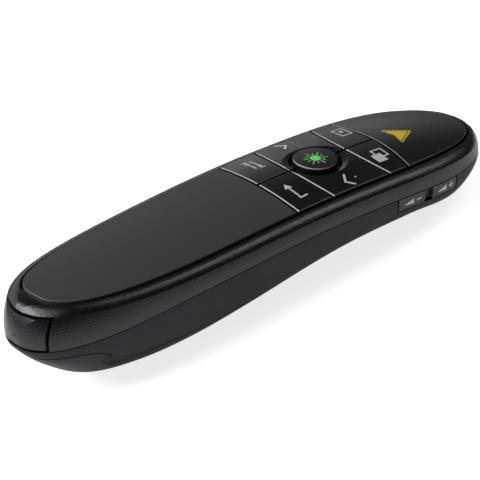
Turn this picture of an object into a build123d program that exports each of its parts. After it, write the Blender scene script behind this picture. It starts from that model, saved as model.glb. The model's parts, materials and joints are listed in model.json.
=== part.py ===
from build123d import *
import os
from math import cos, pi, sin

os.makedirs("parts", exist_ok=True)

# A hand-held presentation clicker, in millimetres. +X points from the tail to the
# laser end, +Y to the holder's left, +Z up. It lies on a table at Z = 0, on a small
# land under its battery door and another under its nose.

# ---- Overall form ----------------------------------------------------------------
LENGTH = 148.4
WIDTH = 37.6
TAIL_X = -LENGTH / 2
NOSE_X = LENGTH / 2
WIDEST_X = 26.9
# Plan outlines: fullness and roundness of the tail end, then of the nose end.
BODY_ENDS = ((5.0, 2.2), (3.5, 2.0))
DECK_ENDS = ((5.0, 2.6), (2.8, 2.6))
BELLY_FULLNESS = 2.4
END_ROUNDNESS = 2.3        # of the ends, seen from the side
KEEL_ROUND = (5.2, 9.0)    # length over which the belly rounds up to the tail and to the nose

# Side view: each station is its place along the part, as a share of the length from
# the middle, and its height.
DECK_LINE = (
    (-0.486, 28.9), (-0.25, 27.4), (0.02, 25.6), (0.221, 22.4), (0.357, 18.9), (0.451, 15.3), (0.525, 11.6),
)
SEAM_LINE = (
    (-0.486, 17.2), (-0.351, 18.3), (-0.202, 19.0), (0.02, 18.0), (0.221, 14.8), (0.39, 10.9), (0.525, 8.6),
)
BELLY_LINE = (
    (-0.486, 12.9), (-0.412, 4.6), (-0.318, 1.0), (-0.216, -0.2), (-0.102, 0.4),
    (0.114, 3.0), (0.276, 2.0), (0.377, -0.25), (0.451, 3.3), (0.525, 5.0),
)
DOOR_LINE = (
    (-0.493, 14.8), (-0.425, 14.7), (-0.388, 12.9), (-0.365, 10.0),
    (-0.331, 8.7), (-0.25, 7.4), (-0.115, 6.7), (0.02, 6.5),
)

CROWN = 0.0079             # fall of the deck per square of the distance from its centre line
RIM_WIDTH = 3.3            # beside the deck
DECK_HALF = WIDTH / 2 - RIM_WIDTH
DECK_TAIL_X = TAIL_X + 6.0
DECK_NOSE_X = NOSE_X - 2.5
RIM_TAIL_X = TAIL_X + 5.2
RIM_NOSE_X = NOSE_X - 1.3
RIM_SET = 0.3              # how far the rim lies below the deck
RIM_SAG = 1.6              # how much further the rim falls towards the tail's end
RIM_SAG_REACH = 16.0
RIM_DROP = 1.6             # from the rim's inner edge down to its crease
CREASE_INSET = 0.6         # the body narrows by this from the seam up to the rim
RIM_BULGE = 0.3
WALL_BULGE = 0.12
TIP_SHARE = 0.25           # width of the top of the first sections, as a share of their crease
FIRST_STATION = 0.12       # from the end of the body to its first section
STATION_GROWTH = 1.75      # each section is this much further from the end than the last
MAX_STATION_STEP = 7.0

WALL = 1.8
RECESS = 1.8               # depth of the deck's recess below the deck
FLOOR = 1.2                # thickness of the recess floor
SEAM_GAP = 0.25
DECK_GAP = 0.75            # between the rim and what lies in the deck
PIECE_GAP = 0.7            # between neighbouring keys and panels
FIT = 0.05                 # clearance between fixed pieces
LOOSE = 0.15               # clearance round a piece that is dropped into place
MERGE = 0.5                # how far solids that become one run into each other

# ---- Keys ------------------------------------------------------------------------
# Row lines run across the deck: x on the centre line, and how far their ends at the
# deck's edge lie towards the nose.
ROW_LINES = ((2.9, 0.3), (13.5, 1.6), (32.1, 2.2), (42.1, -1.7))
KEY_THICK = 1.1
KEY_TRAVEL = 0.5
KEY_EASE = 0.3
BUTTON_X = 22.4
BUTTON_R = 5.8
BUTTON_RISE = 0.7
BUTTON_EASE = 0.35
WELL_R = 6.9
DISH_R = 9.4
DISH_DEPTH = 0.6
DISH_OVER = 1.0            # the cutting cone reaches this far over the deck
PLUNGER = 4.0              # side of a key's foot
PLUNGER_PLAY = 0.25
BUTTON_FOOT_R = 2.4
LUG_REACH = 0.8
LUG_THICK = 0.4
LUG_WIDTH = 1.6
FIRST_ROW_FOOT = (8.5, DECK_HALF - 7.5)
PAGE_FOOT = (23.5, DECK_HALF - 3.9)
LAST_ROW_FOOT = (37.2, DECK_HALF - 7.9)

# ---- Boards and switches -----------------------------------------------------------
BOARD_TOP = 13.6
BOARD_THICK = 1.2
BOARD_NOSE_X = NOSE_X - 19.3
SWITCH_SIDE = 4.5
SWITCH_BODY = 2.2
SWITCH_STEM_R = 1.2
SWITCH_HEIGHT = 2.9
CONTACT_GAP = 0.05         # from a key's foot, pressed home, to its switch
# Chips on the board's underside: x, y and thickness.
CHIPS = {
    "controller_chip": ((11.0, 18.0), (-3.5, 3.5), 1.0),
    "radio_chip": ((27.0, 31.0), (2.0, 6.0), 0.9),
    "crystal": ((27.0, 30.2), (-3.5, -1.0), 0.8),
}

# ---- Side controls -----------------------------------------------------------------
VOLUME_X = (37.8, 49.9)
VOLUME_LENGTH = 9.2
VOLUME_HEIGHT = 3.6
VOLUME_GAP = 0.45
POST_SET = 0.8             # the post between the volume buttons lies this far in
VOLUME_TRAVEL = 0.4
VOLUME_STEM = (3.0, 2.0)
SIDE_BOARD_Y = -WIDTH / 2 + 7.7
SIDE_BOARD_THICK = 0.8
SIDE_BOARD_BELOW = 2.6     # the side board's edges, from the middles of the buttons
SIDE_BOARD_ABOVE = 1.9
SIDE_SWITCH = (4.0, 1.8, 3.0)
SIDE_STEM_R = 0.9
SIDE_STEM = 0.6
SLIDER_TRAVEL = 3.0
SLIDER_SIZE = (6.0, 3.0)
SLIDER_PROUD = 0.3
SLIDER_PLAY = 0.2
SLIDER_BELOW_SEAM = 3.4
GROOVE_R = 0.25
GROOVE_PITCH = 1.1
FLANGE_HALF = 2.2
FLANGE_THICK = 0.8
FLANGE_LAP = 1.0           # how far the flange passes the knob at each end
SWITCH_SET = 0.3           # from the flange to the switch
SWITCH_DEPTH = 3.2
SWITCH_TALL = 2.6
SWITCH_ENDS = 2.6          # from the nub's track to the switch's ends
NUB_SIZE = (1.8, 1.4, 1.2)
NUB_RISE = 0.7             # from the board up to the nub
NUB_PLAY = 0.2

# ---- Laser -------------------------------------------------------------------------
LASER_Z = 8.8
BARREL_R = 3.3
BARREL_BORE = 2.4
BARREL_X = (NOSE_X - 28.0, NOSE_X - 11.5)
DIODE_LENGTH = 4.0
LENS_LENGTH = 2.0
LENS_SET = 1.0             # from the lens to the barrel's mouth
LASER_BOARD = (8.0, 5.8, 1.0)
CRADLE_SET = 6.0           # from the barrel's rear end to its cradle
CRADLE_SIZE = (5.0, 9.2)
APERTURE_R = 2.8
BEZEL_LENGTH = 3.4
WINDOW_R = 2.0
WINDOW_SET = 1.6           # from the nose to the window
WINDOW_THICK = 1.4
LED_X = NOSE_X - 12.9
LED_R = 0.8
LED_FLANGE_R = 1.3
LED_FLANGE = 0.9
LED_BELOW = 1.6            # how far the lamp reaches below the deck's floor

# ---- Battery compartment -------------------------------------------------------------
CELL_R = 5.2
CELL_LENGTH = 44.5
CELL_NUB = 1.2
CELL_NUB_R = 1.9
CELL_GAP = 0.4             # between the cells, and from them to the tray's roof
CELL_SPACING = 2 * CELL_R + CELL_GAP
CELL_Z = 10.0
CELL_TAIL_X = TAIL_X + 24.8
CELL_NOSE_X = CELL_TAIL_X + CELL_LENGTH
TAIL_CONTACT_ROOM = 2.6
NOSE_CONTACT_ROOM = 2.0
TRAY_WALL = 1.0
TRAY_ROOF_Z = CELL_Z + CELL_R + CELL_GAP
TRAY_FOOT_Z = 6.0
TRAY_END_HALF = 11.0
TRAY_TAIL_X = CELL_TAIL_X - TAIL_CONTACT_ROOM - TRAY_WALL
TRAY_NOSE_X = CELL_NOSE_X + NOSE_CONTACT_ROOM + TRAY_WALL
BOARD_TAIL_X = TRAY_NOSE_X + 0.8
SLIDER_X = BOARD_TAIL_X + 12.0
SPRING_WIRE = 0.5
SPRING_TURNS = 3
SPRING_R = 2.6
PLATE_WIDTH = 7.0
PLATE_Z = (CELL_Z - 3.0, CELL_Z + 4.0)
DOOR_FRONT_X = TRAY_NOSE_X + 0.8
DOOR_GAP = 0.25
RIB_X = (DOOR_FRONT_X - 0.6, DOOR_FRONT_X + 2.0)   # of the ribs behind the door's front edge
RIB_Y = 8.0                # from the centre line to the ribs
RIB_TOP = 8.0
TONGUE_WIDTH = 3.0
TONGUE_ROOT = 4.0          # length of the tongue's root on the door
TONGUE_REACH = 2.5         # from the door's front edge to the tongue's tip
TONGUE_THICK = 0.75
TONGUE_LIFT = 0.15         # from the housing's floor to the tongue
DENT_X = TAIL_X + 18.1
DENT_Y = 12.5
DENT_Z = 9.2
DENT_R = 9.0
DENT_FLATNESS = 0.45
DENT_TILT = 35.0

# ---- Receiver ------------------------------------------------------------------------
GRIP_WIDTH = 15.9
GRIP_Z = (17.8, 25.5)
GRIP_FRONT_X = TAIL_X + 12.6
GRIP_GAP = 0.7             # between the grip and the notch that it fills
PLUG_WIDTH = 12.0
PLUG_HEIGHT = 4.5
PLUG_LENGTH = 18.75
PLUG_WALL = 0.3
PLUG_DROP = 1.0            # the plug lies this far below the middle of the grip
PLUG_SET = 0.2             # from the plug's shell to its tongue
TONGUE_CORE = 1.9
TONGUE_SHORT = 0.4         # from the tongue's tip to the plug's mouth
PIN_YS = (-3.5, -1.0, 1.0, 3.5)
PIN_WIDTH = 1.0
PIN_THICK = 0.2
PIN_SHORT = 0.8            # from a contact's tip to the tongue's tip
GRIP_WALL = 1.2
GRIP_BACK = 5.6            # thickness of the grip's rounded outer end
RECEIVER_BOARD_THICK = 1.0
BAY_WALL = 0.9
BAY_END = 0.6
BAY_ROOM = 0.4             # from the plug's mouth to the bay's end
RECEIVER_GAP = 0.25

# ---- Screws --------------------------------------------------------------------------
REAR_SCREW = (BOARD_TAIL_X + 4.5, WIDTH / 2 - 7.3)
FRONT_SCREW = (NOSE_X - 28.0, WIDTH / 2 - 10.8)
SCREW_SPOTS = [(x, side * y) for x, y in (REAR_SCREW, FRONT_SCREW) for side in (1, -1)]
THREAD_R = 0.85
PILOT_R = 0.9
SHANK_HOLE_R = 1.05
SCREW_LENGTH = 8.0
SCREW_HEAD_R = 1.9
SCREW_HEAD = 1.4
SLOT_HALF = (1.3, 0.25)    # arms of the cross in a screw's head
SLOT_DEPTH = 0.7
BOSS_R = 2.6
BOSS_RISE = 7.0            # from the belly to where two bosses meet
SCREW_CLAMP = 2.0          # thickness of the lower boss over a screw's head

FAR = 40.0                 # reach of a cutting solid to the sides
WAY_OUT = LENGTH           # reach of a cutting solid past the ends


# ---- Curves ----------------------------------------------------------------------------
def height(line, x):
    """Height at x of the smooth line through a side view's stations."""
    place = x / LENGTH
    slopes = [
        (line[min(i + 1, len(line) - 1)][1] - line[max(i - 1, 0)][1])
        / (line[min(i + 1, len(line) - 1)][0] - line[max(i - 1, 0)][0])
        for i in range(len(line))
    ]
    i = max(k for k in range(len(line) - 1) if k == 0 or line[k][0] <= place)
    (start, z0), (end, z1) = line[i], line[i + 1]
    span = end - start
    if not start <= place <= end:
        near = 0 if place < start else 1
        return line[i + near][1] + slopes[i + near] * (place - line[i + near][0])
    t = (place - start) / span
    return (
        (2 * t**3 - 3 * t**2 + 1) * z0
        + (t**3 - 2 * t**2 + t) * span * slopes[i]
        + (3 * t**2 - 2 * t**3) * z1
        + (t**3 - t**2) * span * slopes[i + 1]
    )


def half_width(x, half, tail, nose, ends):
    """Half the width at x of the plan outline that ends at tail and nose."""
    end, (fullness, roundness) = (tail, ends[0]) if x < WIDEST_X else (nose, ends[1])
    share = abs(x - WIDEST_X) / abs(end - WIDEST_X)
    return half * max(1 - share**fullness, 0) ** (1 / roundness)


def deck(x, y=0.0):
    return height(DECK_LINE, x) - CROWN * y * y


def body_half(x, inset=0.0):
    return half_width(x, WIDTH / 2 - inset, TAIL_X + inset, NOSE_X - inset, BODY_ENDS)


def rounded_end(past):
    """Falls from 1 to 0, as a rounded corner does, while past goes from 0 to 1."""
    return (1 - min(max(past, 0), 1) ** END_ROUNDNESS) ** (1 / END_ROUNDNESS)


def top_share(x, inset=0.0):
    """Height of the body's top over its seam, as a share of what it is away from the ends."""
    at_tail = (RIM_TAIL_X + inset - x) / (RIM_TAIL_X - TAIL_X)
    at_nose = (x - RIM_NOSE_X + inset) / (NOSE_X - RIM_NOSE_X)
    return rounded_end(at_tail) * rounded_end(at_nose)


def keel(x, inset=0.0):
    """Height of the belly, which rounds up to the seam at each end."""
    seam = height(SEAM_LINE, x)
    at_tail = 1 - (x - TAIL_X - inset) / KEEL_ROUND[0]
    at_nose = 1 - (NOSE_X - inset - x) / KEEL_ROUND[1]
    depth = seam - height(BELLY_LINE, x) - inset
    return seam - depth * rounded_end(at_tail) * rounded_end(at_nose)


def level_half(x, share):
    """Half the body's width at x, a share of the way from the seam up to the rim."""
    tail = RIM_TAIL_X + (TAIL_X - RIM_TAIL_X) * rounded_end(share)
    nose = RIM_NOSE_X + (NOSE_X - RIM_NOSE_X) * rounded_end(share)
    return half_width(x, WIDTH / 2 - CREASE_INSET * share, tail, nose, BODY_ENDS)


def stations(tail, nose):
    """Section places, close together near each end, where the outline turns in."""
    def from_end(span):
        reach, places = FIRST_STATION, []
        while reach < span:
            places.append(reach)
            reach += min(reach * (STATION_GROWTH - 1), MAX_STATION_STEP)
        return places

    near_tail = [tail + d for d in from_end(WIDEST_X - tail)]
    near_nose = [nose - d for d in from_end(nose - WIDEST_X)]
    if near_nose[-1] - near_tail[-1] < MAX_STATION_STEP / 3:
        near_nose.pop()
    return near_tail + near_nose[::-1]


# ---- Section solids ----------------------------------------------------------------------
def lower_curve(x, side, belly):
    """Underside of a section, from seam to seam."""
    seam = height(SEAM_LINE, x)
    steps = 12
    points = []
    for k in range(steps + 1):
        angle = pi * k / steps
        across, down = cos(angle), sin(angle)
        y = side * abs(across) ** (2 / BELLY_FULLNESS) * (1 if across >= 0 else -1)
        points.append((x, y, seam - (seam - belly) * down ** (2 / BELLY_FULLNESS)))
    shares = [k / steps for k in range(steps + 1)]
    return Edge.make_spline([Vector(*p) for p in points], parameters=shares)


def hull_section(x):
    side, seam = body_half(x), height(SEAM_LINE, x)
    rim = half_width(x, DECK_HALF, RIM_TAIL_X, RIM_NOSE_X, DECK_ENDS)
    sag = RIM_SAG * max(1 - (x - TAIL_X) / RIM_SAG_REACH, 0) ** 2
    rise = deck(x, rim) - RIM_SET - sag - seam
    crease_share = (1 - RIM_DROP / rise) * top_share(x)
    middle_share = crease_share / 2
    crease, middle = level_half(x, crease_share), level_half(x, middle_share)
    rim = max(rim, TIP_SHARE * crease)
    rim_z, crease_z, middle_z = [seam + rise * share for share in (top_share(x), crease_share, middle_share)]
    full = side / (WIDTH / 2)

    def shoulder_arc(s):
        shoulder_z = (rim_z + crease_z) / 2 + RIM_BULGE * full
        shoulder = (x, s * ((rim + crease) / 2 + RIM_BULGE * full), shoulder_z)
        return ThreePointArc((x, s * rim, rim_z), shoulder, (x, s * crease, crease_z))

    def wall_arc(s):
        wall = (x, s * (middle + WALL_BULGE * full), middle_z)
        return ThreePointArc((x, s * crease, crease_z), wall, (x, s * side, seam))

    top = ThreePointArc((x, -rim, rim_z), (x, 0, rim_z + CROWN * rim * rim), (x, rim, rim_z))
    return Wire([
        top, shoulder_arc(1), wall_arc(1), lower_curve(x, side, keel(x)),
        wall_arc(-1), shoulder_arc(-1),
    ])


def hull_solid():
    return Solid.make_loft([hull_section(x) for x in stations(TAIL_X, NOSE_X)])


def inner_solid(inset):
    """The room inside a wall of thickness inset, below the deck's floor."""
    under_deck = RECESS + FLOOR - WALL + inset

    def section(x):
        side = body_half(x, inset)
        seam = height(SEAM_LINE, x)
        edge_z = seam + (deck(x, side) - under_deck - seam) * top_share(x, inset)
        top = ThreePointArc((x, -side, edge_z), (x, 0, edge_z + CROWN * side * side), (x, side, edge_z))
        return Wire([
            top,
            Line((x, side, edge_z), (x, side, seam)),
            lower_curve(x, side, keel(x, inset)),
            Line((x, -side, seam), (x, -side, edge_z)),
        ])

    return Solid.make_loft([section(x) for x in stations(TAIL_X + inset, NOSE_X - inset)])


def slab(top, bottom):
    """Layer that follows the deck, between two heights above it."""
    reach_y = WIDTH

    def section(x):
        edge = CROWN * reach_y * reach_y
        high, low = deck(x) + top, deck(x) + bottom
        return Wire([
            ThreePointArc((x, -reach_y, high - edge), (x, 0, high), (x, reach_y, high - edge)),
            Line((x, reach_y, high - edge), (x, reach_y, low - edge)),
            ThreePointArc((x, reach_y, low - edge), (x, 0, low), (x, -reach_y, low - edge)),
            Line((x, -reach_y, low - edge), (x, -reach_y, high - edge)),
        ])

    count = 16
    places = [TAIL_X - 4 + (LENGTH + 8) * k / (count - 1) for k in range(count)]
    return Solid.make_loft([section(x) for x in places])


def layer(line, low, high, x_from=TAIL_X - 10, x_to=NOSE_X + 10):
    """Solid right across the part between two offsets from a side-view line."""
    count = 24
    places = [x_from + (x_to - x_from) * k / (count - 1) for k in range(count)]

    def curve(offset):
        return [(x, 0, height(line, x) + offset) for x in places]

    lower, upper = curve(low), curve(high)
    outline = Wire([
        Spline(*lower), Line(lower[-1], upper[-1]), Spline(*upper[::-1]), Line(upper[0], lower[0]),
    ])
    return extrude(Face(outline), amount=WIDTH, dir=(0, 1, 0), both=True)


def deck_prism(inset):
    """Upright prism on the deck's outline, moved in by inset."""
    tail, nose, half = DECK_TAIL_X + inset, DECK_NOSE_X - inset, DECK_HALF - inset
    steps = 14
    right = []
    for k in range(steps + 1):
        share = sin(pi / 2 * k / steps)
        x = WIDEST_X + (tail - WIDEST_X) * share
        right.append((x, half_width(x, half, tail, nose, DECK_ENDS)))
    right.reverse()
    for k in range(1, steps + 1):
        x = WIDEST_X + (nose - WIDEST_X) * sin(pi / 2 * k / steps)
        right.append((x, half_width(x, half, tail, nose, DECK_ENDS)))
    left = [(x, -y) for x, y in right[1:-1]][::-1]
    outline = Wire([Spline(*right, *left, periodic=True)])
    return extrude(Face(outline), amount=FAR, dir=(0, 0, 1))


def row_edge(row, shift):
    """Row line across the part, moved along it by shift."""
    centre, lead = ROW_LINES[row]
    reach = WIDTH / 2
    end = centre + shift + lead * (reach / DECK_HALF) ** 2
    return ThreePointArc((end, -reach), (centre + shift, 0), (end, reach))


def row_band(first, last):
    """Prism between two row lines; None stands for an end of the part."""
    reach = WIDTH / 2
    ends = (-WAY_OUT, WAY_OUT)
    low = row_edge(first, PIECE_GAP / 2) if first is not None else Line((ends[0], -reach), (ends[0], reach))
    high = row_edge(last, -PIECE_GAP / 2) if last is not None else Line((ends[1], -reach), (ends[1], reach))
    outline = Wire([low, Line(low @ 1, high @ 1), high, Line(high @ 0, low @ 0)])
    return extrude(Face(outline), amount=FAR, dir=(0, 0, 1))


def box(x, y, z):
    """Box between (low, high) pairs."""
    size = [high - low for low, high in (x, y, z)]
    centre = [(high + low) / 2 for low, high in (x, y, z)]
    return Pos(*centre) * Box(*size)


def about(middle, size):
    """The (low, high) pair of a size about its middle."""
    return (middle - size / 2, middle + size / 2)


def rod(x, y, z, radius):
    """Upright cylinder at x, y between the heights in z."""
    return Pos(x, y, (z[0] + z[1]) / 2) * Cylinder(radius, z[1] - z[0])


def rod_x(x, y, z, radius):
    return Pos((x[0] + x[1]) / 2, y, z) * Rot(0, 90, 0) * Cylinder(radius, x[1] - x[0])


def rod_y(x, y, z, radius):
    return Pos(x, (y[0] + y[1]) / 2, z) * Rot(90, 0, 0) * Cylinder(radius, y[1] - y[0])


def top_face(shape):
    return max(shape.faces(), key=lambda face: face.area * (face.normal_at().Z > 0.5))


def eased(shape, radius):
    return fillet(top_face(shape).edges(), radius)


parts = {}
hull = hull_solid()
inside = inner_solid(WALL)
snug = inner_solid(WALL + LOOSE)
above_seam = layer(SEAM_LINE, SEAM_GAP / 2, FAR)
below_seam = layer(SEAM_LINE, -FAR, -SEAM_GAP / 2)
all_x, all_y, all_z = (-WAY_OUT, WAY_OUT), (-FAR, FAR), (-FAR, FAR)
above_table = box(all_x, all_y, (0, FAR))
near_side = box(all_x, (-FAR, -WIDTH / 4), all_z)

# ---- Keys ----------------------------------------------------------------------------------
deck_area = deck_prism(DECK_GAP)
panel_layer = slab(0, -(RECESS - FIT))
key_layer = slab(0, -KEY_THICK)
left_half = box(all_x, (PIECE_GAP / 2, FAR), all_z)
right_half = box(all_x, (-FAR, -PIECE_GAP / 2), all_z)

DECK_FALL = (deck(BUTTON_X - BUTTON_R) - deck(BUTTON_X + BUTTON_R)) / (2 * BUTTON_R)
button_plane = Plane(
    origin=(BUTTON_X, 0, deck(BUTTON_X)), x_dir=(1, 0, -DECK_FALL), z_dir=(DECK_FALL, 0, 1)
)
well = button_plane * Cylinder(WELL_R, FAR / 2)
DISH_SLOPE = (DISH_R - WELL_R) / DISH_DEPTH
dish = button_plane * Pos(0, 0, (DISH_OVER - DISH_DEPTH) / 2) * Cone(
    WELL_R, DISH_R + DISH_SLOPE * DISH_OVER, DISH_DEPTH + DISH_OVER
)

SWITCH_TOP = BOARD_TOP + SWITCH_HEIGHT
FOOT_Z = SWITCH_TOP + KEY_TRAVEL + CONTACT_GAP
DECK_FLOOR = RECESS + FLOOR


def plunger(x, y):
    """Key foot from the cap's underside to just over its switch, with two snap lugs."""
    top = deck(x, y) - KEY_THICK + MERGE
    post = box(about(x, PLUNGER), about(y, PLUNGER), (FOOT_Z, top))
    low_side = deck(x + PLUNGER / 2, abs(y) + PLUNGER / 2)
    lug_top = low_side - DECK_FLOOR - 2 * FIT
    lug_span = PLUNGER + 2 * LUG_REACH
    return post + box(about(x, LUG_WIDTH), about(y, lug_span), (lug_top - LUG_THICK, lug_top))


def key(first, last, side, foot):
    half = left_half if side > 0 else right_half
    cap = eased(key_layer & deck_area & row_band(first, last) & half, KEY_EASE)
    if first == BUTTON_ROW:
        cap = cap - well - dish
    x, y = foot
    return cap + plunger(x, side * y)


BUTTON_ROW = 1
KEYS = {
    "tab_key": (0, 1, 1, FIRST_ROW_FOOT),
    "enter_key": (0, 1, -1, FIRST_ROW_FOOT),
    "page_up_key": (1, 2, 1, PAGE_FOOT),
    "page_down_key": (1, 2, -1, PAGE_FOOT),
    "screen_key": (2, 3, 1, LAST_ROW_FOOT),
    "window_key": (2, 3, -1, LAST_ROW_FOOT),
}
for name, place in KEYS.items():
    parts[name] = key(*place)
foot_spots = [(x, side * y) for _, _, side, (x, y) in KEYS.values()]

button_layer = slab(BUTTON_RISE, -KEY_THICK)
button_cap = eased(button_layer & (button_plane * Cylinder(BUTTON_R, FAR / 2)), BUTTON_EASE)
button_foot = rod(BUTTON_X, 0, (FOOT_Z, deck(BUTTON_X) - KEY_THICK + MERGE), BUTTON_FOOT_R)
parts["laser_button"] = button_cap + button_foot

# ---- Panels and lamp ---------------------------------------------------------------------
lamp_hole = rod(LED_X, 0, (0, FAR), LED_R + FIT)
parts["rear_panel"] = eased(panel_layer & deck_area & row_band(None, 0), KEY_EASE)
parts["front_panel"] = eased(panel_layer & deck_area & row_band(3, None), KEY_EASE) - lamp_hole

lamp_foot = deck(LED_X) - DECK_FLOOR - LED_BELOW
parts["status_led"] = rod(LED_X, 0, (lamp_foot, deck(LED_X) - FIT), LED_R) + rod(
    LED_X, 0, (lamp_foot, lamp_foot + LED_FLANGE), LED_FLANGE_R
)


# ---- Upper housing -----------------------------------------------------------------------
def foot_hole(x, y):
    side = PLUNGER + 2 * PLUNGER_PLAY
    return box(about(x, side), about(y, side), (BOARD_TOP, FAR))


def boss_joint(x):
    """Height at which the two bosses round a screw meet."""
    return height(BELLY_LINE, x) + BOSS_RISE


def upper_boss(x, y):
    foot = boss_joint(x)
    post = rod(x, y, (foot, deck(x, y) - DECK_FLOOR + MERGE), BOSS_R)
    return post - rod(x, y, (foot - MERGE, foot + SCREW_LENGTH), PILOT_R)


grip_room = box(
    (-WAY_OUT, GRIP_FRONT_X + GRIP_GAP),
    about(0, GRIP_WIDTH + 2 * GRIP_GAP),
    (0, GRIP_Z[1] + GRIP_GAP),
)
aperture = rod_x((NOSE_X - 2 * BEZEL_LENGTH, NOSE_X + BEZEL_LENGTH), 0, LASER_Z, APERTURE_R)
upper = (hull & above_seam) - inside - (slab(FAR / 5, -RECESS) & deck_prism(0)) - lamp_hole
for x, y in foot_spots:
    upper -= foot_hole(x, y)
upper -= rod(BUTTON_X, 0, (BOARD_TOP, FAR), BUTTON_FOOT_R + PLUNGER_PLAY)
for x, y in SCREW_SPOTS:
    upper += upper_boss(x, y)
parts["upper_housing"] = upper - grip_room - aperture

# ---- Lower housing -----------------------------------------------------------------------
door_region = layer(DOOR_LINE, -FAR, 0, -WAY_OUT, DOOR_FRONT_X)
door_cut = layer(DOOR_LINE, -FAR, DOOR_GAP, -WAY_OUT, DOOR_FRONT_X + DOOR_GAP)
lower_shell = ((hull & below_seam) - inside) & above_table
lower = lower_shell - door_cut


def lower_boss(x, y):
    return rod(x, y, (height(BELLY_LINE, x) + MERGE, boss_joint(x) - FIT), BOSS_R) & hull


def screw_room(x, y):
    seat = boss_joint(x) - SCREW_CLAMP
    return rod(x, y, (-FAR, seat), SCREW_HEAD_R + LOOSE) + rod(x, y, (seat, FAR), SHANK_HOLE_R)


rib_root_x = (DOOR_FRONT_X + 2 * DOOR_GAP, RIB_X[1])
ribs = (snug & box(RIB_X, all_y, (0, RIB_TOP))) + (
    inner_solid(WALL - MERGE) & box(rib_root_x, all_y, (0, RIB_TOP))
)
lower += ribs - box(all_x, about(0, 2 * RIB_Y), all_z)
for x, y in SCREW_SPOTS:
    lower += lower_boss(x, y)
for x, y in SCREW_SPOTS:
    lower -= screw_room(x, y)

cradle_from = BARREL_X[0] + CRADLE_SET
cradle_x = (cradle_from, cradle_from + CRADLE_SIZE[0])
cradle = box(cradle_x, about(0, CRADLE_SIZE[1]), (0, LASER_Z)) & inner_solid(WALL - MERGE)
lower += cradle - rod_x(BARREL_X, 0, LASER_Z, BARREL_R + FIT)

volume_from = VOLUME_X[0] - VOLUME_LENGTH / 2 - VOLUME_GAP
volume_to = VOLUME_X[1] + VOLUME_LENGTH / 2 + VOLUME_GAP
volume_room = layer(SEAM_LINE, -VOLUME_HEIGHT - VOLUME_GAP, SEAM_GAP, volume_from, volume_to) & near_side
post_width = VOLUME_X[1] - VOLUME_X[0] - VOLUME_LENGTH - 2 * VOLUME_GAP
post_x = (VOLUME_X[0] + VOLUME_X[1]) / 2
post = box(about(post_x, post_width), (-FAR, 0), all_z) & inner_solid(POST_SET)
lower -= volume_room - post


def inner_half(x, z):
    """Half the width of the room inside the lower housing at height z."""
    seam = height(SEAM_LINE, x)
    share = (seam - z) / (seam - height(BELLY_LINE, x) - WALL)
    return body_half(x, WALL) * (1 - share**BELLY_FULLNESS) ** (1 / BELLY_FULLNESS)


slider_z = height(SEAM_LINE, SLIDER_X) - SLIDER_BELOW_SEAM
flange_y = inner_half(SLIDER_X, slider_z - FLANGE_HALF) - LOOSE
knob_x = about(SLIDER_X, SLIDER_SIZE[0])
lower -= box(
    (knob_x[0] - SLIDER_PLAY, knob_x[1] + SLIDER_TRAVEL + SLIDER_PLAY),
    (WIDTH / 4, FAR),
    about(slider_z, SLIDER_SIZE[1] + 2 * SLIDER_PLAY),
)
parts["lower_housing"] = lower - aperture

# ---- Battery door ------------------------------------------------------------------------
tongue_floor = height(BELLY_LINE, DOOR_FRONT_X + TONGUE_REACH) + WALL
tongue_z = (tongue_floor + TONGUE_LIFT, tongue_floor + TONGUE_LIFT + TONGUE_THICK)
tongue_root = box(
    (DOOR_FRONT_X - TONGUE_ROOT, DOOR_FRONT_X), about(0, TONGUE_WIDTH), (tongue_z[0] - WALL / 2, tongue_z[1])
)
tongue_tip = box((DOOR_FRONT_X - MERGE, DOOR_FRONT_X + TONGUE_REACH), about(0, TONGUE_WIDTH), tongue_z)
door = (lower_shell & door_region) + ((tongue_root + tongue_tip) & hull)
for side in (1, -1):
    dent_place = Pos(DENT_X, side * (DENT_Y + DENT_R), DENT_Z) * Rot(0, DENT_TILT, 0)
    door -= dent_place * scale(Sphere(DENT_R), (1, 1, DENT_FLATNESS))
parts["battery_door"] = door

# ---- Battery compartment -------------------------------------------------------------------
tray = snug & box((TRAY_TAIL_X, TRAY_NOSE_X), all_y, (TRAY_ROOF_Z, TRAY_ROOF_Z + TRAY_WALL))
for x in (TRAY_TAIL_X, TRAY_NOSE_X - TRAY_WALL):
    tray += snug & box((x, x + TRAY_WALL), about(0, 2 * TRAY_END_HALF), (TRAY_FOOT_Z, TRAY_ROOF_Z + FIT))
parts["battery_tray"] = tray


def cell(y, forward):
    """AAA cell along X; forward puts its nub at the nose end."""
    ends = (CELL_TAIL_X, CELL_NOSE_X)
    body_x = (ends[0], ends[1] - CELL_NUB) if forward else (ends[0] + CELL_NUB, ends[1])
    return rod_x(body_x, y, CELL_Z, CELL_R) + rod_x(ends, y, CELL_Z, CELL_NUB_R)


parts["battery_left"] = cell(CELL_SPACING / 2, True)
parts["battery_right"] = cell(-CELL_SPACING / 2, False)


def contact_spring(y, x_from, x_to):
    length = x_to - x_from - SPRING_WIRE - 2 * FIT
    path = Helix(
        pitch=length / SPRING_TURNS, height=length, radius=SPRING_R,
        center=(x_from + SPRING_WIRE / 2 + FIT, y, CELL_Z), direction=(1, 0, 0),
    )
    start = Plane(origin=path @ 0, z_dir=path % 0)
    return sweep(start * Circle(SPRING_WIRE / 2), path=path)


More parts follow.
